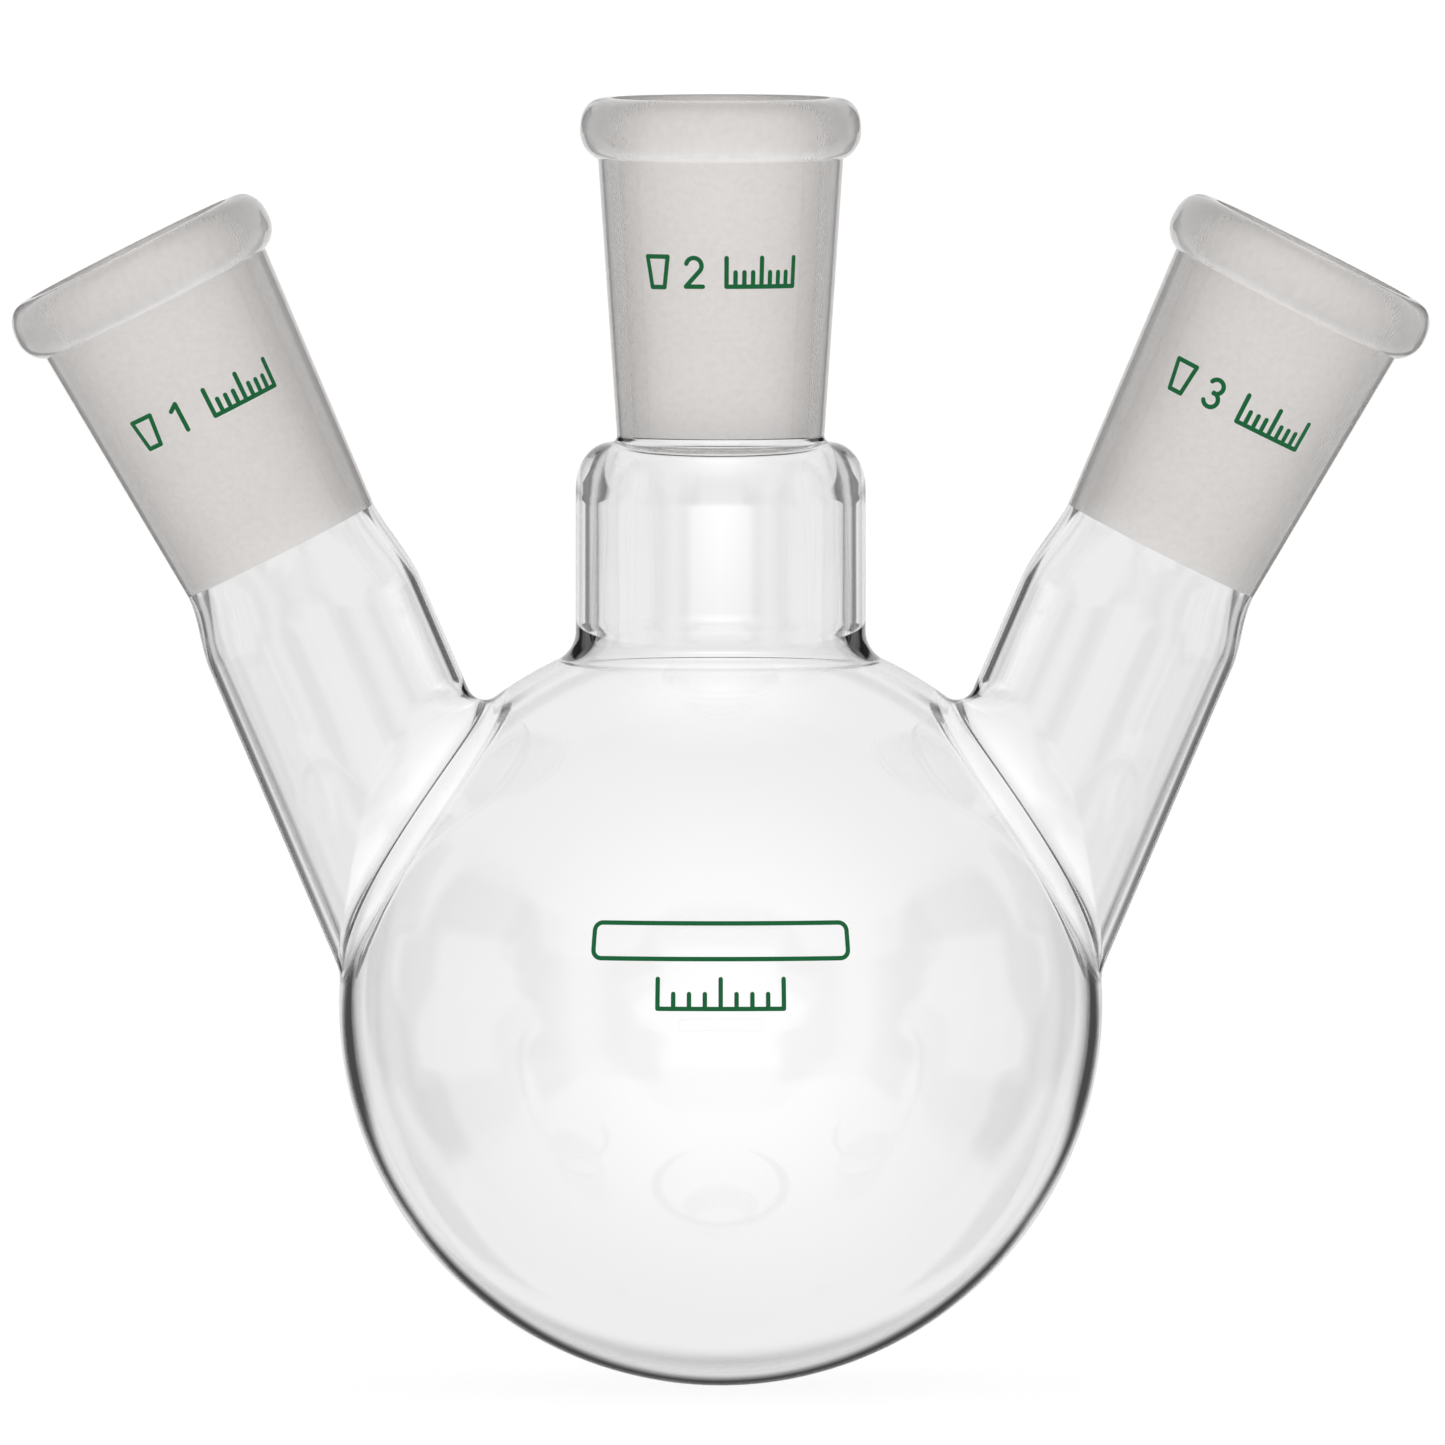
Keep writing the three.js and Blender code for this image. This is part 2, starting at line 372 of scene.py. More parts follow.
def finish_mesh(name, points, faces, indices, corner_normals, materials):
    """An object of faces whose corners have given normals, or the face's own where None is given."""
    mesh = bpy.data.meshes.new(name)
    mesh.from_pydata([tuple(p) for p in points], [], faces)
    for material in materials:
        mesh.materials.append(material)
    mesh.polygons.foreach_set("material_index", indices)
    mesh.polygons.foreach_set("use_smooth", [True] * len(faces))
    mesh.update()
    face_normals = np.empty(len(faces) * 3)
    mesh.polygons.foreach_get("normal", face_normals)
    sizes = [len(face) for face in faces]
    own = np.repeat(face_normals.reshape(-1, 3), sizes, axis=0)
    given = np.array([(np.nan,) * 3 if normal is None else normal for normal in corner_normals])
    stated = ~np.isnan(given[:, 0])
    if (given[stated] * own[stated]).sum() < 0:
        raise ValueError(f"{name} is inside out")
    normals = np.where(stated[:, None], given, own)
    mark_creases(mesh, np.array(sizes), normals)
    mesh.normals_split_custom_set(normals.tolist())
    return link(mesh, name)


def mark_creases(mesh, sizes, normals):
    """Marks each edge as sharp where the faces on its two sides have different corner normals."""
    edge, vertex = np.empty((2, len(normals)), int)
    mesh.loops.foreach_get("edge_index", edge)
    mesh.loops.foreach_get("vertex_index", vertex)
    last = np.cumsum(sizes) - 1
    after = np.arange(1, len(normals) + 1)
    after[last] = last - sizes + 1
    keys = np.concatenate([np.stack([edge, vertex], 1), np.stack([edge, vertex[after]], 1)])
    facing = np.concatenate([normals, normals[after]])
    order = np.lexsort((keys[:, 1], keys[:, 0]))
    keys, facing = keys[order].reshape(-1, 2, 2), facing[order].reshape(-1, 2, 3)
    sharp = np.zeros(len(mesh.edges), bool)
    sharp[keys[(facing[:, 0] * facing[:, 1]).sum(1) < 0.9999, 0, 0]] = True
    mesh.edges.foreach_set("use_edge_sharp", sharp)


# ---------------------------------------------------------------- where a neck meets the bulb


class Junction:
    """The rounded corner between a neck and the bulb, as a rolling ball of radius `flare` would leave it.

    The ball touches the neck and the bulb, and its radius may change on its way round the neck. For each
    direction round the neck this gives the ball's centre and the two places that it touches.
    """

    def __init__(self, place, neck_radius, ball_radius, flare):
        self.place, self.neck_radius, self.ball_radius = place, neck_radius, ball_radius
        self.flare = np.broadcast_to(flare, (AROUND,))
        to_centre = BULB_CENTRE - place.origin
        self.foot = place.origin + np.dot(to_centre, place.up) * place.up
        around = place.round(ANGLES)
        spread = (neck_radius + self.flare)[:, None] * around
        rise = np.sqrt((ball_radius + self.flare) ** 2 - ((spread + self.foot - BULB_CENTRE) ** 2).sum(1))
        self.centres = self.foot + spread + rise[:, None] * place.up
        self.to_neck = -around
        self.to_ball = unit(BULB_CENTRE - self.centres)
        self.on_neck = self.centres + self.flare[:, None] * self.to_neck
        self.pole = unit(self.to_ball.mean(0)) * -1
        self.across = unit(np.cross(place.side, self.pole))
        turn, lean = self.polar(self.centres)
        leans = [lean + APRON / BULB_RADIUS * f for f in fractions(APRON_STEPS)]
        self.apron = [self.on_bulb(turn, lean) for lean in leans]
        self.seam, self.seam_turn, self.seam_lean = self.apron[-1], turn, leans[-1]

    def polar(self, points):
        """The direction of each point from the bulb's centre, as a turn about the pole and a lean from it."""
        ways = unit(points - BULB_CENTRE)
        sideways = np.cross(self.pole, self.across)
        return np.arctan2(ways @ sideways, ways @ self.across), np.arccos(ways @ self.pole)

    def on_bulb(self, turn, lean):
        sideways = np.cross(self.pole, self.across)
        outward = np.outer(np.cos(turn), self.across) + np.outer(np.sin(turn), sideways)
        way = np.sin(lean)[:, None] * outward + np.cos(lean)[:, None] * self.pole
        return BULB_CENTRE + self.ball_radius * way

    def rows(self, steps):
        """Points and directions away from the bulb's and neck's hollow, from the neck to the seam."""
        dots = (self.to_neck * self.to_ball).sum(1)
        angle = np.arccos(np.clip(dots, -1, 1))[:, None]
        points, directions = [], []
        for f in fractions(steps):
            turned = np.sin((1 - f) * angle) * self.to_neck + np.sin(f * angle) * self.to_ball
            direction = turned / np.sin(angle)
            points.append(self.centres + self.flare[:, None] * direction)
            directions.append(-direction)
        for row in self.apron[1:]:
            points.append(row)
            directions.append(unit(row - BULB_CENTRE))
        return np.array(points), np.array(directions)

    def holds(self, points, margin):
        """True for each point of the bulb's surface that is inside the seam, or nearer to it than margin."""
        turn, lean = self.polar(points)
        edge = np.interp(turn, self.seam_turn, self.seam_lean, period=2 * math.pi)
        return lean < edge + margin / self.ball_radius


def neck_skin(name, shoulder, outer, inner):
    """A neck: its shoulder's rows outside and inside, then straight glass and the flare into the bulb."""
    strips = []
    for (points, normals), junction, sign in ((shoulder[0], outer, 1), (shoulder[1], inner, -1)):
        flare_points, flare_normals = junction.rows(FLARE_STEPS)
        rows = np.concatenate([points, flare_points])
        facing = np.concatenate([normals, sign * flare_normals])
        strips.append((rows, facing))
    (outside, outside_normals), (inside, inside_normals) = strips
    return add_closed_skin(
        name,
        [
            (outside[::-1], outside_normals[::-1], 0),
            cap_strip(outside[0], inside[0], 1),
            (inside, inside_normals, 0),
            cap_strip(inside[-1], outside[-1], 1),
        ],
        [CLEAR, WELD],
    )


def ellipse_rows(place, centre, across, up, start, stop, steps, inward=False):
    """Rows of an arc of an ellipse turned about a place's axis, with their normals."""
    points, normals = [], []
    for f in fractions(steps):
        angle = lerp(start, stop, f)
        radius, height = centre[0] + across * math.cos(angle), centre[1] + up * math.sin(angle)
        out, rise = math.cos(angle) / across, math.sin(angle) / up
        sign = -1 if inward else 1
        points.append(place.ring(radius, height))
        normals.append(unit(sign * (out * place.round(ANGLES) + rise * place.up)))
    return np.array(points), np.array(normals)


def join_rows(*parts):
    """Rows one after another, without the repeated row where two parts meet."""
    points = np.concatenate([parts[0][0]] + [p[0][1:] for p in parts[1:]])
    normals = np.concatenate([parts[0][1]] + [p[1][1:] for p in parts[1:]])
    return points, normals


# ---------------------------------------------------------------- sockets

MOUNTS = {mount["name"]: mount for mount in frame["record"]["mounts"]}


def socket_place(side_name):
    """A socket's frame, with its small end as the origin, from the flat lip that the record states."""
    mount = MOUNTS[f"{side_name}_lip"]
    axis = Vector(mount["axis"])
    lip = Vector((mount["pos_m"][0], 0, mount["pos_m"][2]))
    return Frame(lip - SOCKET_LENGTH * axis, math.atan2(axis.x, axis.z))


def bore_radius(height):
    return MOUTH_RADIUS - BORE_TAPER * (SOCKET_LENGTH - height)


def straight(start, stop, steps, sign=1):
    """Profile rows of a straight line, with its normal on the right of the way it runs."""
    run, rise = stop[0] - start[0], stop[1] - start[1]
    return [
        (lerp(start[0], stop[0], f), lerp(start[1], stop[1], f), sign * rise, -sign * run)
        for f in fractions(steps)
    ]


def bead_profile():
    """The rolled rim's outside, from its root up to the flat lip."""
    centre = SOCKET_LENGTH - BEAD_BELOW_LIP
    out = BEAD_RADIUS - BEAD_ROOT_RADIUS
    root = -math.acos((SOCKET_TOP_RADIUS - BEAD_ROOT_RADIUS) / out)
    lower = []
    for f in fractions(16):
        angle = lerp(root, 0, f)
        lower.append((
            BEAD_ROOT_RADIUS + out * math.cos(angle),
            centre + BEAD_LOWER_HEIGHT * math.sin(angle),
            math.cos(angle) / out,
            math.sin(angle) / BEAD_LOWER_HEIGHT,
        ))
    upper = []
    power = 2 / BEAD_SQUARENESS
    for f in fractions(24):
        angle = lerp(0, math.pi / 2, f)
        across, up = max(math.cos(angle), 0.0) ** power, math.sin(angle) ** power
        upper.append((
            BEAD_ROOT_RADIUS + LIP_EDGE + (out - LIP_EDGE) * across,
            centre + BEAD_BELOW_LIP * up,
            across ** (BEAD_SQUARENESS - 1) / (out - LIP_EDGE),
            up ** (BEAD_SQUARENESS - 1) / BEAD_BELOW_LIP,
        ))
    return lower, upper


def add_socket(side_name):
    place = socket_place(side_name)
    lower, upper = bead_profile()
    root, lip_out = lower[0][:2], upper[-1][:2]
    foot_out, foot_in = (SOCKET_FOOT_RADIUS, 0.0), (bore_radius(0), 0.0)
    edge = (MOUTH_RADIUS + LIP_EDGE / 2, SOCKET_LENGTH)
    bore_top = (bore_radius(SOCKET_LENGTH - LIP_EDGE), SOCKET_LENGTH - LIP_EDGE)
    strips = [
        turned_strip(place, straight(foot_out, root, 12), 0),
        turned_strip(place, lower, 0),
        turned_strip(place, upper, 0),
        turned_strip(place, straight(lip_out, edge, 2), 0),
        turned_strip(place, straight(edge, bore_top, 2), 1),
        turned_strip(place, straight(bore_top, foot_in, 24), 1),
        cap_strip(place.ring(*foot_in), place.ring(*foot_out), 2),
    ]
    return add_closed_skin(f"{side_name}_socket", strips, [CLEAR, GROUND, WELD])


# ---------------------------------------------------------------- necks


def shoulder_rows(place, foot, tube, start, edge, stop, inward=False):
    """Rows from a foot's radius out to a tube's: a tight corner, then a quarter of an ellipse."""
    middle = foot + edge
    corner = ellipse_rows(place, (middle, start), edge, edge, math.pi, 1.5 * math.pi, 10, not inward)
    height = start - edge - stop
    top = ellipse_rows(place, (middle, stop), tube - middle, height, math.pi / 2, 0, 24, inward)
    return join_rows(corner, top)


def centre_shoulder(place):
    """The centre neck's rounded shoulder outside and inside, from the weld below the socket."""
    fillet, height = CENTRE_SHOULDER_FILLET, CENTRE_SHOULDER_HEIGHT
    outside = shoulder_rows(place, SOCKET_FOOT_RADIUS, CENTRE_NECK_RADIUS, 0, fillet, -height)
    bore, tube = bore_radius(0), CENTRE_NECK_RADIUS - CENTRE_NECK_WALL
    start, stop = -CENTRE_HOLLOW_DROP, -CENTRE_HOLLOW_HEIGHT
    hollow = shoulder_rows(place, bore, tube, start, CENTRE_HOLLOW_EDGE, stop, inward=True)
    above = turned_strip(place, straight((bore, 0), (bore, start), 2), 0)[:2]
    return outside, join_rows(above, hollow)


def bent_rows(socket, neck, sizes):
    """A side neck's shoulder, where its axis bends from the socket's tilt to the neck's own."""
    steps = 24
    centre = socket.origin.copy()
    start_tilt = math.atan2(socket.up[0], socket.up[2])
    stop_tilt = math.atan2(neck.up[0], neck.up[2])
    rows = {size: ([], []) for size in sizes}
    for f in fractions(steps):
        here = Frame(centre, lerp(start_tilt, stop_tilt, ease(f)))
        for size in sizes:
            top, tube, sign = size
            radius = lerp(top, tube, ease(f))
            widening = (tube - top) * 6 * f * (1 - f) / SIDE_SHOULDER_HEIGHT
            rows[size][0].append(here.ring(radius, 0))
            rows[size][1].append(sign * unit(here.round(ANGLES) + widening * here.up))
        if f < 1:
            centre = centre - here.up * SIDE_SHOULDER_HEIGHT / steps
    return [(np.array(rows[size][0]), np.array(rows[size][1])) for size in sizes], centre


def tube_rows(start, junction, sign, steps):
    """Straight rows down a neck from its shoulder's last ring to where the flare starts."""
    points = [lerp(start, junction.on_neck, f) for f in fractions(steps)]
    normals = [-sign * junction.to_neck] * (steps + 1)
    return np.array(points), np.array(normals)


def side_flare(neck):
    """A side neck's flare for each direction round it, and how much larger the flare is inside."""
    rise = neck.round(ANGLES)[:, 2] / abs(neck.out[2])
    slant = (SIDE_FLARE_INNER - SIDE_FLARE_OUTER) / 2
    bow = (SIDE_FLARE_INNER + SIDE_FLARE_OUTER) / 2 - SIDE_FLARE_FACE
    return SIDE_FLARE_FACE + slant * rise + bow * rise**2, SIDE_SEAL * rise**4


def add_neck(side_name):
    socket = socket_place(side_name)
    inner_ball = BULB_RADIUS - BULB_WALL
    if side_name == "centre":
        neck, radius, wall = socket, CENTRE_NECK_RADIUS, CENTRE_NECK_WALL
        flare, seal = CENTRE_FLARE, CENTRE_SEAL
        shoulder = centre_shoulder(socket)
    else:
        radius, wall = SIDE_NECK_RADIUS, SIDE_NECK_WALL
        side = 1 if side_name == "right" else -1
        neck = Frame(socket.origin, side * SIDE_NECK_TILT)
        sizes = [(SOCKET_FOOT_RADIUS, radius, 1), (bore_radius(0), radius - wall, -1)]
        shoulder, centre = bent_rows(socket, neck, sizes)
        neck = Frame(centre, side * SIDE_NECK_TILT)
        flare, seal = side_flare(neck)
    outer = Junction(neck, radius, BULB_RADIUS, flare)
    inner = Junction(neck, radius - wall, inner_ball, flare + (wall + BULB_WALL) / 2 + seal)
    full = [
        join_rows(shoulder[0], tube_rows(shoulder[0][0][-1], outer, 1, 10)),
        join_rows(shoulder[1], tube_rows(shoulder[1][0][-1], inner, -1, 10)),
    ]
    trimmed = [(points[:-1], normals[:-1]) for points, normals in full]
    return neck_skin(f"{side_name}_neck_glass", trimmed, outer, inner), outer, inner


# ---------------------------------------------------------------- bulb


def ball_faces(radius, junctions):
    """Points and triangles of a ball with its holes open, each hole edged by its junction's ring.

    The ball is laid out flat from its lowest point, and the flat points are joined by triangles that keep
    to the rings. The lowest point then closes the outside.
    """
    ball = bmesh.new()
    bmesh.ops.create_icosphere(ball, subdivisions=BALL_LEVELS, radius=radius)
    points = np.array([v.co for v in ball.verts]) + BULB_CENTRE
    ball.free()
    spacing = radius * 1.2 / 2 ** (BALL_LEVELS - 1)
    keep = np.ones(len(points), bool)
    for junction in junctions:
        keep &= ~junction.holds(points, 0.6 * spacing)
    foot = np.argmin(points[:, 2])
    keep[foot] = False
    rings = [junction.seam for junction in junctions]
    everything = np.concatenate([*rings, points[keep], points[foot : foot + 1]])
    ways = unit(everything[:-1] - BULB_CENTRE)
    flat = [Vector((x / (1 + z), y / (1 + z))) for x, y, z in ways]
    rims = []
    for rim in range(len(rings)):
        rims += [(rim * AROUND + k, rim * AROUND + (k + 1) % AROUND) for k in range(AROUND)]
    _, _, laid_faces, origins, _, _ = delaunay_2d_cdt(flat, rims, [], 0, 1e-9)
    triangles = []
    for face in laid_faces:
        corners = [origins[c][0] for c in face]
        rim = corners[0] // AROUND
        if rim < len(rings) and all(c // AROUND == rim for c in corners):
            if junctions[rim].holds(everything[corners].mean(0, keepdims=True), 0.0)[0]:
                continue
        triangles.append(corners)
    ways_round = {(a, b) for face in triangles for a, b in zip(face, face[1:] + face[:1])}
    for a, b in ways_round - {(b, a) for a, b in ways_round}:
        if max(a, b) >= AROUND * len(rings):
            triangles.append([b, a, len(everything) - 1])
    return everything, triangles


def add_bulb(outers, inners):
    outer_points, outer_faces = ball_faces(BULB_RADIUS, outers)
    inner_points, inner_faces = ball_faces(BULB_RADIUS - BULB_WALL, inners)
    shift = len(outer_points)
    points = np.concatenate([outer_points, inner_points])
    outward = unit(points - BULB_CENTRE)
    outward[shift:] *= -1
    faces = outer_faces + [[c + shift for c in reversed(face)] for face in inner_faces]
    indices = [0] * len(faces)
    corner_normals = [outward[c] for face in faces for c in face]
    for rim in range(len(outers)):
        base = rim * AROUND
        for k in range(AROUND):
            here, turn = base + k, base + (k + 1) % AROUND
            faces.append((turn, here, here + shift, turn + shift))
            indices.append(1)
            corner_normals += [None] * 4
    return finish_mesh("bulb_glass", points, faces, indices, corner_normals, [CLEAR, WELD])


# ---------------------------------------------------------------- green prints

# Prints are drawn flat in millimetres, as strokes with round ends, and then wrapped on the glass.


def arc(centre, radius, start, stop, steps=12):
    """A path round part of a circle, with its angles in degrees."""
    turns = [math.radians(lerp(start, stop, f)) for f in fractions(steps)]
    return [(centre[0] + radius * math.cos(t), centre[1] + radius * math.sin(t)) for t in turns]


def shifted(paths, across):
    return [[(x + across, y) for x, y in path] for path in paths]


def scale_bar(start, width, spaces, height):
    """A base line with ticks, each fourth one full height."""
    left = start - width / 2
    paths = [[(left, -height / 2), (left + width, -height / 2)]]
    for k in range(spaces + 1):
        x = left + width * k / spaces
        paths.append([(x, -height / 2), (x, height / 2 if k % 4 == 0 else 0)])
    return paths


def panel_outline(width, height, corner):
    """A rectangle with rounded corners."""
    x, y = width / 2 - corner, height / 2 - corner
    path = []
    for centre, start in (((x, y), 0), ((-x, y), 90), ((-x, -y), 180), ((x, -y), 270)):
        path += arc(centre, corner, start, start + 90, 6)
    return [path + path[:1]]


TAPER_SIGN = [[(-1.3, 1.7), (1.3, 1.7), (0.8, -1.7), (-0.8, -1.7), (-1.3, 1.7)]]
ONE = [[(-0.6, 1.0), (0.2, 1.6), (0.2, -1.6)]]
TWO = [arc((0, 0.72), 0.88, 165, -40) + [(-0.95, -1.6), (1.0, -1.6)]]
THREE = [arc((0, 0.8), 0.8, 155, -90) + arc((0, -0.76), 0.84, 90, -155)]


def socket_mark(numeral):
    """A taper sign, the neck's number and a short scale."""
    return shifted(TAPER_SIGN, -7.35) + shifted(numeral, -3.0) + scale_bar(4.65, 8, 8, 3.2)


def stroke_outline(a, b):
    """The outline of a straight stroke with round ends."""
    a, b = np.array(a), np.array(b)
    steps = max(1, math.ceil(np.linalg.norm(b - a) / STROKE_STEP))
    ahead = math.atan2(*(b - a)[::-1])
    outline = []
    for start, stop, side in ((a, b, ahead - math.pi / 2), (b, a, ahead + math.pi / 2)):
        edge = STROKE_WIDTH / 2 * np.array([math.cos(side), math.sin(side)])
        outline += [lerp(start, stop, f) + edge for f in fractions(steps)]
        for f in fractions(6)[1:-1]:
            turn = side + math.pi * f
            outline.append(stop + STROKE_WIDTH / 2 * np.array([math.cos(turn), math.sin(turn)]))
    return outline


def round_socket(place):
    """Wraps a print on a socket's outside, below the lip, on the side that faces -Y."""
    root = bead_profile()[0][0]
    slope = (root[0] - SOCKET_FOOT_RADIUS) / root[1]
    middle = SOCKET_LENGTH - SOCKET_MARK_BELOW_LIP

    def wrap(flat, lift):
        height = middle + flat[:, 1]
        radius = SOCKET_FOOT_RADIUS + slope * height + lift
        around = place.round(flat[:, 0] / (SOCKET_FOOT_RADIUS + slope * middle) - math.pi / 2)
        points = place.origin + height[:, None] * place.up + radius[:, None] * around
        return points, unit(around - slope * place.up)

    return wrap


def round_bulb(height):
    """Wraps a print on the bulb's outside at a height above the table, on the side that faces -Y."""
    middle = math.asin((height - BULB_CENTRE[2]) / BULB_RADIUS)

    def wrap(flat, lift):
        turn, rise = flat[:, 0] / (BULB_RADIUS * math.cos(middle)), middle + flat[:, 1] / BULB_RADIUS
        ways = np.stack([np.sin(turn) * np.cos(rise), -np.cos(turn) * np.cos(rise), np.sin(rise)], 1)
        return BULB_CENTRE + (BULB_RADIUS + lift) * ways, ways

    return wrap


def add_print(name, node, paths, wrap):
    """A thin closed piece of enamel in the shape of its strokes, in place of a CAD node."""
    corners, outlines = [], []
    for path in paths:
        for a, b in zip(path, path[1:]):
            outline = stroke_outline(a, b)
            outlines.append(list(range(len(corners), len(corners) + len(outline))))
            corners += [Vector(corner) for corner in outline]
    laid_points, _, laid_faces, _, _, strokes = delaunay_2d_cdt(corners, [], outlines, 1, 1e-5)
    flat = np.array([tuple(corner) for corner in laid_points]) * MM
    front, front_normals = wrap(flat, PRINT_GAP + PRINT_THICKNESS)
    back, back_normals = wrap(flat, PRINT_GAP)
    count = len(flat)
    faces = [tuple(face) for face, covered_by in zip(laid_faces, strokes) if covered_by]
    rims = {(a, b) for face in faces for a, b in zip(face, face[1:] + face[:1])}
    normals = [front_normals[c] for face in faces for c in face]
    behind = [tuple(c + count for c in reversed(face)) for face in faces]
    normals += [-back_normals[c - count] for face in behind for c in face]
    sides = [(a + count, b + count, b, a) for a, b in sorted(rims) if (b, a) not in rims]
    normals += [None] * 4 * len(sides)
    everything, points = faces + behind + sides, np.concatenate([front, back])
    ob = finish_mesh(name, points, everything, [0] * len(everything), normals, [ENAMEL])
    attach(ob, "root")
    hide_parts(node)


# ---------------------------------------------------------------- the flask

SIDES = ("centre", "left", "right")
outers, inners = [], []
for side_name in SIDES:
    neck, outer, inner = add_neck(side_name)
    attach(neck, "root")
    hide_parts(f"{side_name}_neck")
    outers.append(outer)
    inners.append(inner)
    socket = add_socket(side_name)
    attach(socket, "root")
    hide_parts(f"{side_name}_joint")
bulb = add_bulb(outers, inners)
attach(bulb, "root")
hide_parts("bulb")

for side_name, numeral in zip(("left", "centre", "right"), (ONE, TWO, THREE)):
    wrap = round_socket(socket_place(side_name))
    add_print(f"{side_name}_joint_print", f"{side_name}_joint_mark", socket_mark(numeral), wrap)
add_print("capacity_print", "capacity_mark", scale_bar(0, 14, 8, 3.3), round_bulb(CAPACITY_HEIGHT))
add_print("panel_print", "marking_panel", panel_outline(28.5, 4.0, 0.9), round_bulb(PANEL_HEIGHT))

# ---------------------------------------------------------------- stage, light and camera

FLOOR_REACH = 12.0
FLOOR_GLOW = 0.89

# Four cards stand square round the flask. Their drawing is in metres, across from a card's middle and up
# from the table, and each pair of numbers is where a tone starts to change and where it has changed.

CARD_AWAY = 400 * MM
CARD_LOW, CARD_HIGH = -250 * MM, 300 * MM
WINDOW_SIDES, WINDOW_FOOT = (0.11, 0.155), (0.055, 0.085)
WIDER_BY, WIDER_ABOVE, WIDER_BELOW = 0.085, (0.0, 0.08), (0.11, 0.14)
OPEN_TOP, OPEN_TOP_SIDES = (0.16, 0.21), (0.13, 0.17)
LIGHT_CORNER, LIGHT_CORNER_DROP = (0.2, 0.25), (0.04, 0.09)
LOW_END, HIGH_END = (0.2, 0.24), (0.25, 0.29)
GREY_SIDES, GREY_FOOT = (0.27, 0.36), (0.15, 0.2)
BLACK_TONE, GREY_LIFT = 0.07, 0.55
WHITE_TONE, PATCH_LIFT = 0.85, 0.2
BULB_PATCH, NECK_PATCH = (0.02, 0.03, 0.032), (0.085, 0.016, 0.018)  # height, reach across, reach up


def add_floor():
    """A table lit a little from below, so that it is as white as the backdrop and shadows stay faint."""
    mesh = bpy.data.meshes.new("floor")
    corners = [(-1, -1), (1, -1), (1, 1), (-1, 1)]
    mesh.from_pydata([(x * FLOOR_REACH, y * FLOOR_REACH, 0) for x, y in corners], [], [(0, 1, 2, 3)])
    floor = link(mesh, "floor")
    floor.location.z = CAD_BOX[0].z
    material, output = new_material("floor")
    shader = material.node_tree.nodes.new("ShaderNodeBsdfPrincipled")
    shader.inputs["Base Color"].default_value = (0.15, 0.15, 0.15, 1)
    shader.inputs["Roughness"].default_value = 1.0
    shader.inputs["Specular IOR Level"].default_value = 0.0
    shader.inputs["Emission Color"].default_value = (1, 1, 1, 1)
    shader.inputs["Emission Strength"].default_value = FLOOR_GLOW
    material.node_tree.links.new(shader.outputs[0], output.inputs["Surface"])
    mesh.materials.append(material)
    floor.visible_glossy = False
    floor.visible_transmission = False


def sum_of_squares(tree, *lengths):
    return node_math(tree, "ADD", *[node_math(tree, "MULTIPLY", length, length) for length in lengths])


def glow(tree, across, rise, height, reach_across, reach_up):
    """A soft round patch of light at a height, one in its middle and fading to nothing."""
    sideways = node_math(tree, "DIVIDE", across, reach_across)
    upward = node_math(tree, "DIVIDE", node_math(tree, "SUBTRACT", rise, height), reach_up)
    spread = sum_of_squares(tree, sideways, upward)
    return node_math(tree, "EXPONENT", node_math(tree, "MULTIPLY", spread, -1.0))


def card_material():
    """A white window, brightest behind the bulb and the centre neck, between black flags."""
    material, output = new_material("card")
    tree = material.node_tree
    place = tree.nodes.new("ShaderNodeTexCoord")
    split = tree.nodes.new("ShaderNodeSeparateXYZ")
    tree.links.new(place.outputs["Object"], split.inputs[0])
    across, rise = node_math(tree, "ABSOLUTE", split.outputs["X"]), split.outputs["Y"]
    drop = node_math(tree, "MULTIPLY", rise, -1.0)

    def step(value, limits):
        return smooth_step(tree, value, *limits)

    def outside(region):
        return node_math(tree, "SUBTRACT", 1.0, region)

    wider = node_math(tree, "SUBTRACT", step(rise, WIDER_ABOVE), step(rise, WIDER_BELOW))
    widening = node_math(tree, "MULTIPLY", wider, WIDER_BY)
    beside = step(node_math(tree, "SUBTRACT", across, widening), WINDOW_SIDES)
    flag = node_math(tree, "MAXIMUM", beside, step(drop, WINDOW_FOOT))
    open_top = node_math(tree, "MULTIPLY", step(rise, OPEN_TOP), outside(step(across, OPEN_TOP_SIDES)))
    away = node_math(tree, "SQRT", sum_of_squares(tree, across, rise))
    corner = node_math(tree, "MULTIPLY", step(away, LIGHT_CORNER), step(drop, LIGHT_CORNER_DROP))
    ends = node_math(tree, "MAXIMUM", step(drop, LOW_END), step(rise, HIGH_END))
    for light in (open_top, corner, ends):
        flag = node_math(tree, "MULTIPLY", flag, outside(light))
    grey = node_math(tree, "MAXIMUM", step(across, GREY_SIDES), step(drop, GREY_FOOT))
    patches = [glow(tree, across, rise, *patch) for patch in (BULB_PATCH, NECK_PATCH)]
    patch = node_math(tree, "MAXIMUM", *patches)
    mix = tree.nodes.new("ShaderNodeMix")
    tree.links.new(flag, mix.inputs["Factor"])
    tree.links.new(node_math(tree, "MULTIPLY_ADD", patch, PATCH_LIFT, WHITE_TONE), mix.inputs["A"])
    tree.links.new(node_math(tree, "MULTIPLY_ADD", grey, GREY_LIFT, BLACK_TONE), mix.inputs["B"])
    shader = tree.nodes.new("ShaderNodeEmission")
    tree.links.new(mix.outputs["Result"], shader.inputs["Color"])
    tree.links.new(shader.outputs[0], output.inputs["Surface"])
    return material


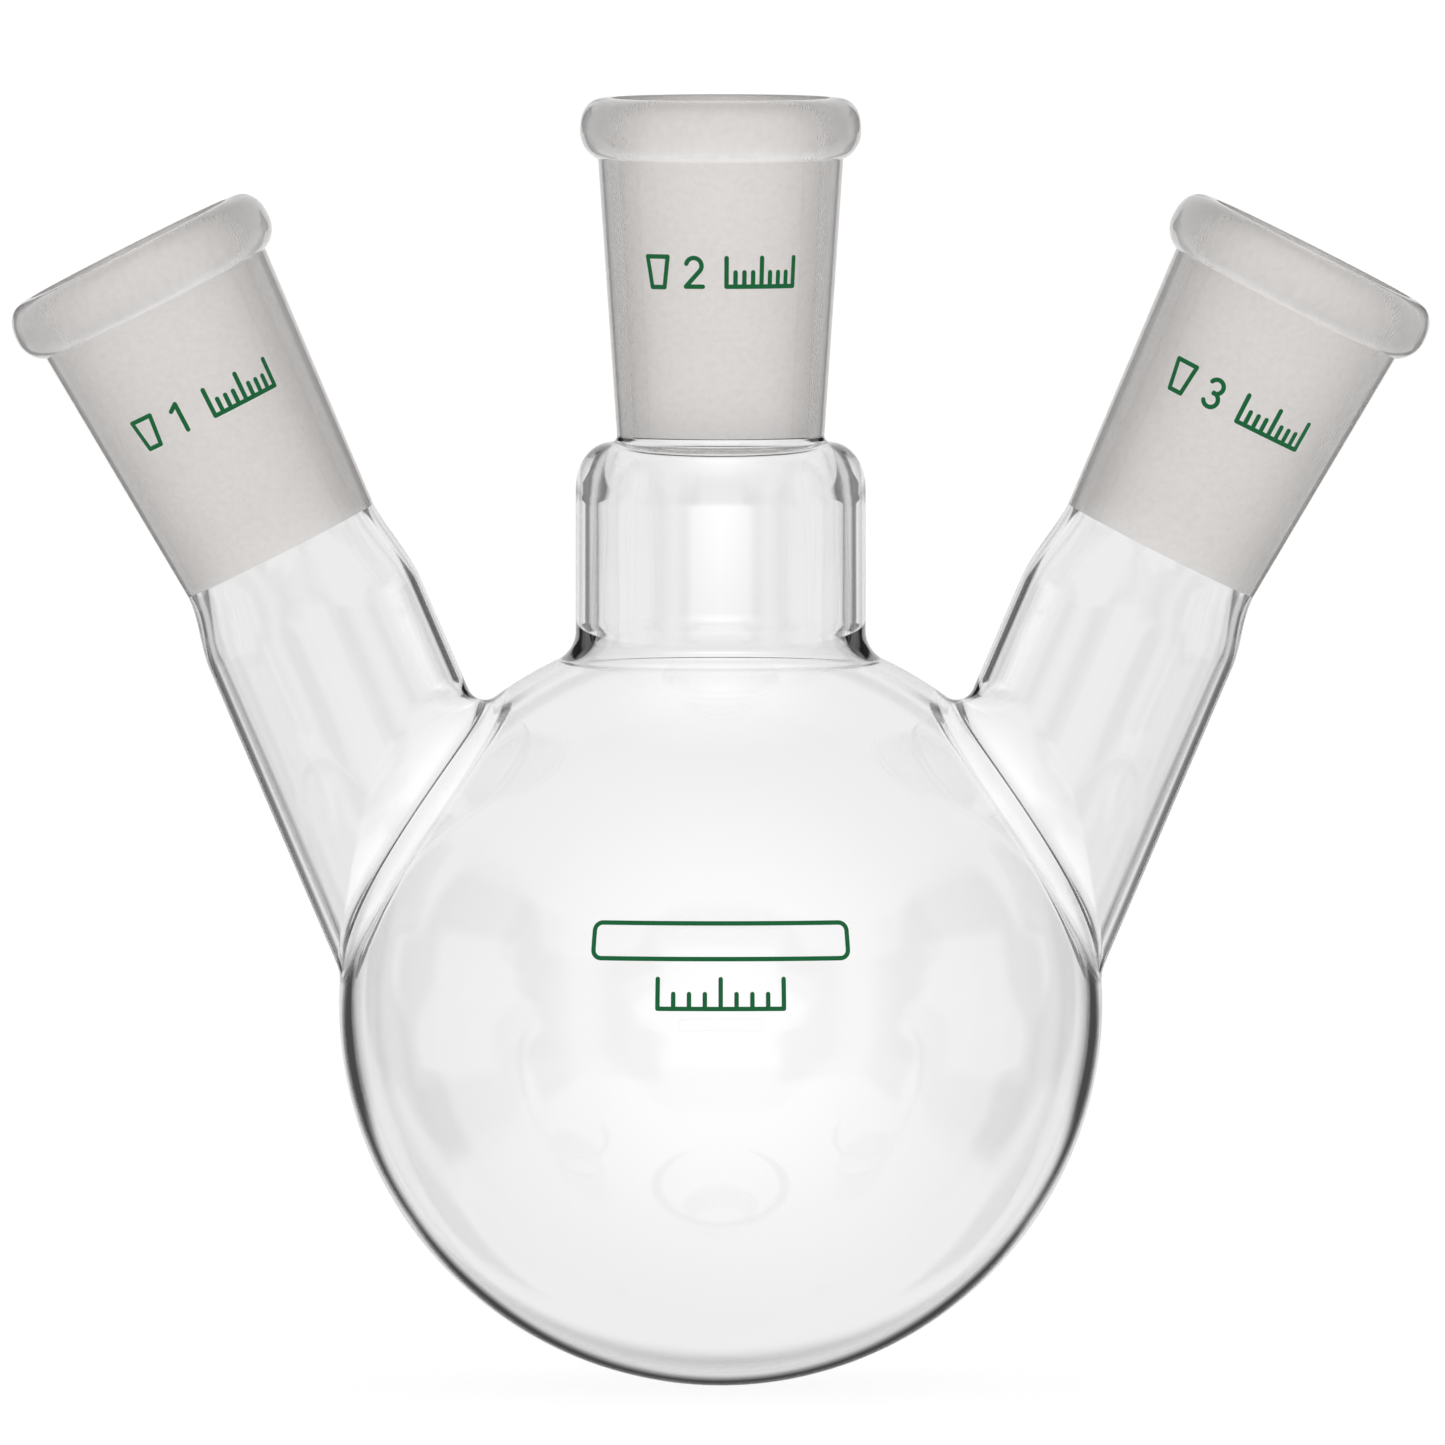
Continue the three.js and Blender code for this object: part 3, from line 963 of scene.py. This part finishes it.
def add_card(name, turn, material):
    """A lit card behind the flask, out of the camera's sight, that clear glass shows along its edges."""
    mesh = bpy.data.meshes.new(name)
    left, right = -CARD_AWAY, CARD_AWAY
    corners = [(left, CARD_LOW, 0), (right, CARD_LOW, 0), (right, CARD_HIGH, 0), (left, CARD_HIGH, 0)]
    mesh.from_pydata(corners, [], [(0, 1, 2, 3)])
    mesh.materials.append(material)
    card = link(mesh, name)
    upright = Matrix.Rotation(math.pi / 2, 4, "X")
    card.matrix_world = Matrix.Rotation(turn, 4, "Z") @ Matrix.Translation((0, CARD_AWAY, 0)) @ upright
    card.visible_camera = False
    card.visible_diffuse = False
    card.visible_glossy = name == "card_behind"
    card.visible_shadow = False


def add_world():
    """An even pale tent. What the camera sees past the flask is plain white."""
    world = bpy.data.worlds.new("studio")
    bpy.context.scene.world = world
    world.use_nodes = True
    tree = world.node_tree
    lamp = tree.nodes["Background"]
    lamp.inputs["Color"].default_value = (0.9, 0.9, 0.9, 1)
    backdrop = tree.nodes.new("ShaderNodeBackground")
    backdrop.inputs["Color"].default_value = (1, 1, 1, 1)
    path = tree.nodes.new("ShaderNodeLightPath")
    mix = tree.nodes.new("ShaderNodeMixShader")
    tree.links.new(path.outputs["Is Camera Ray"], mix.inputs["Fac"])
    tree.links.new(lamp.outputs[0], mix.inputs[1])
    tree.links.new(backdrop.outputs[0], mix.inputs[2])
    tree.links.new(mix.outputs[0], tree.nodes["World Output"].inputs["Surface"])


def add_camera():
    """A long lens, level with the flask and a little above it."""
    distance = 5.0
    elevation = math.radians(2.6)
    width = 160.9 * MM
    aim = Vector((0.2 * MM, 0, 73.9 * MM))
    data = bpy.data.cameras.new("camera")
    camera = bpy.data.objects.new("camera", data)
    bpy.context.scene.collection.objects.link(camera)
    data.sensor_width = 36
    data.lens = data.sensor_width * distance / width
    data.clip_end = 50
    back = Vector((0, -math.cos(elevation), math.sin(elevation)))
    camera.location = aim + back * distance
    camera.rotation_euler = (-back).to_track_quat("-Z", "Y").to_euler()
    bpy.context.scene.camera = camera


add_floor()
card = card_material()
for turn, name in enumerate(("card_behind", "card_left", "card_front", "card_right")):
    add_card(name, turn * math.pi / 2, card)
add_world()
add_camera()
scene = bpy.context.scene
scene.view_settings.view_transform = "Standard"
scene.cycles.max_bounces = 24
scene.cycles.transmission_bounces = 24
scene.cycles.transparent_max_bounces = 32
scene.cycles.caustics_refractive = True
scene.cycles.caustics_reflective = True
